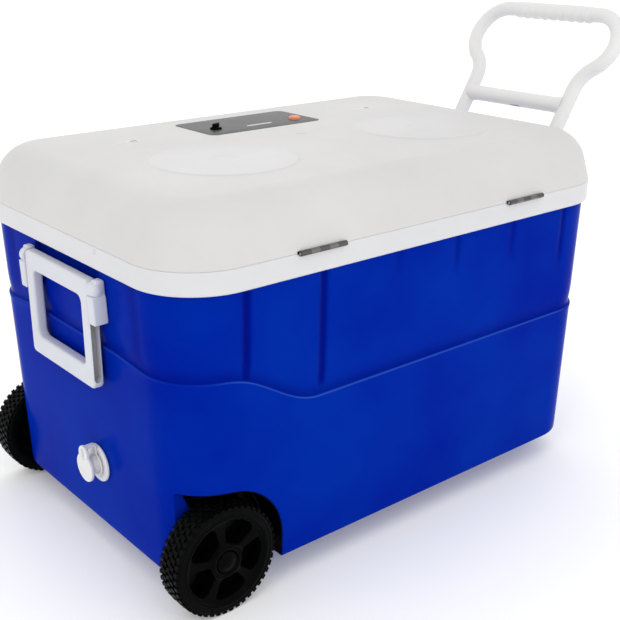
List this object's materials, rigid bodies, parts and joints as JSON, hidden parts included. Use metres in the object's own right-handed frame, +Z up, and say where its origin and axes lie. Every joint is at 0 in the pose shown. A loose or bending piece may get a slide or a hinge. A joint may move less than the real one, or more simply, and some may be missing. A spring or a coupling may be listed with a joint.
{
  "type": "wheeled cool box",
  "caption": "Large hard cool box with a hinged deep lid, wheels at one end, a swing-up tow handle at the other, a side carry handle and a drain.",
  "frame": {"origin": "on the floor, under the middle of the overall bounding box", "axes": "+X towards the tow-handle end, -Y to the hinge side, +Y to the opening side, +Z up"},
  "size_m": [0.9169, 0.5078, 0.6406],
  "materials": {
    "blue_tub": "gloss",
    "cream_plastic": "satin",
    "white_plastic": "satin",
    "foam": "matte",
    "bright_steel": "satin",
    "black_plastic": "satin",
    "seal_rubber": "matte",
    "grey_panel": "matte",
    "orange_plastic": "gloss"
  },
  "bodies": {
    "tub": {"outer_shell": "blue_tub", "liner": "cream_plastic", "foam_jacket": "foam", "collar": "cream_plastic", "foot_block": "blue_tub", "axle": "bright_steel", "axle_saddles": "black_plastic", "axle_push_nuts": "bright_steel", "tow_bracket_l": "white_plastic", "tow_bracket_r": "white_plastic", "tow_pins": "bright_steel", "tow_screws": "bright_steel", "carry_bracket_l": "white_plastic", "carry_bracket_r": "white_plastic", "carry_pins": "bright_steel", "drain_spout": "white_plastic", "drain_gasket": "seal_rubber", "drain_nut": "white_plastic", "hinge_leaf_tub_l": "bright_steel", "hinge_leaf_tub_r": "bright_steel", "hinge_pins": "bright_steel", "hinge_screws_tub": "bright_steel"},
    "lid": {"hinge_leaf_lid_l": "bright_steel", "hinge_leaf_lid_r": "bright_steel", "hinge_screws_lid": "bright_steel", "lid_shell": "cream_plastic", "lid_liner": "cream_plastic", "lid_foam": "foam", "lid_seal": "seal_rubber", "roundel_l": "white_plastic", "roundel_r": "white_plastic", "lid_plug_l": "grey_panel", "lid_plug_r": "grey_panel", "panel_plate": "grey_panel", "indicator_bar": "white_plastic"},
    "wheel_l": {"wheel_core_l": "black_plastic", "tyre_l": "black_plastic", "hub_cap_l": "black_plastic"},
    "wheel_r": {"wheel_core_r": "black_plastic", "tyre_r": "black_plastic", "hub_cap_r": "black_plastic"},
    "tow_handle": {"tow_legs": "white_plastic", "tow_loop": "white_plastic", "tow_crossbar": "white_plastic", "tow_grip": "white_plastic"},
    "carry_handle": {"carry_bail": "white_plastic"},
    "drain_plug": {"drain_cap": "white_plastic", "drain_strap": "white_plastic"},
    "selector": {"selector_knob": "black_plastic"},
    "button": {"push_button": "orange_plastic"}
  },
  "joints": [
    {"name": "lid_hinge", "type": "hinge", "parent": "tub", "child": "lid", "pos_m": [-0.08, -0.2536, 0.426], "axis": [1, 0, 0], "range_deg": [0, 100]},
    {"name": "wheel_l_spin", "type": "hinge", "parent": "tub", "child": "wheel_l", "pos_m": [-0.385, -0.22, 0.07], "axis": [0, 1, 0], "continuous": true},
    {"name": "wheel_r_spin", "type": "hinge", "parent": "tub", "child": "wheel_r", "pos_m": [-0.385, 0.22, 0.07], "axis": [0, 1, 0], "continuous": true},
    {"name": "tow_pivot", "type": "hinge", "parent": "tub", "child": "tow_handle", "pos_m": [0.2952, 0, 0.3835], "axis": [0, 1, 0], "range_deg": [-10, 146]},
    {"name": "carry_pivot", "type": "hinge", "parent": "tub", "child": "carry_handle", "pos_m": [-0.4478, 0, 0.376], "axis": [0, 1, 0], "range_deg": [0, 95]},
    {"name": "drain_pull", "type": "slide", "parent": "tub", "child": "drain_plug", "axis": [-0.9995, 0, -0.032], "range_m": [0, 0.01]},
    {"name": "selector_turn", "type": "hinge", "parent": "lid", "child": "selector", "pos_m": [-0.146, 0.1055, 0.4935], "axis": [0, 0, 1], "range_deg": [-135, 135]},
    {"name": "button_press", "type": "slide", "parent": "lid", "child": "button", "axis": [0, 0, -1], "range_m": [0, 0.002], "stiffness_N_per_m": 300}
  ]
}
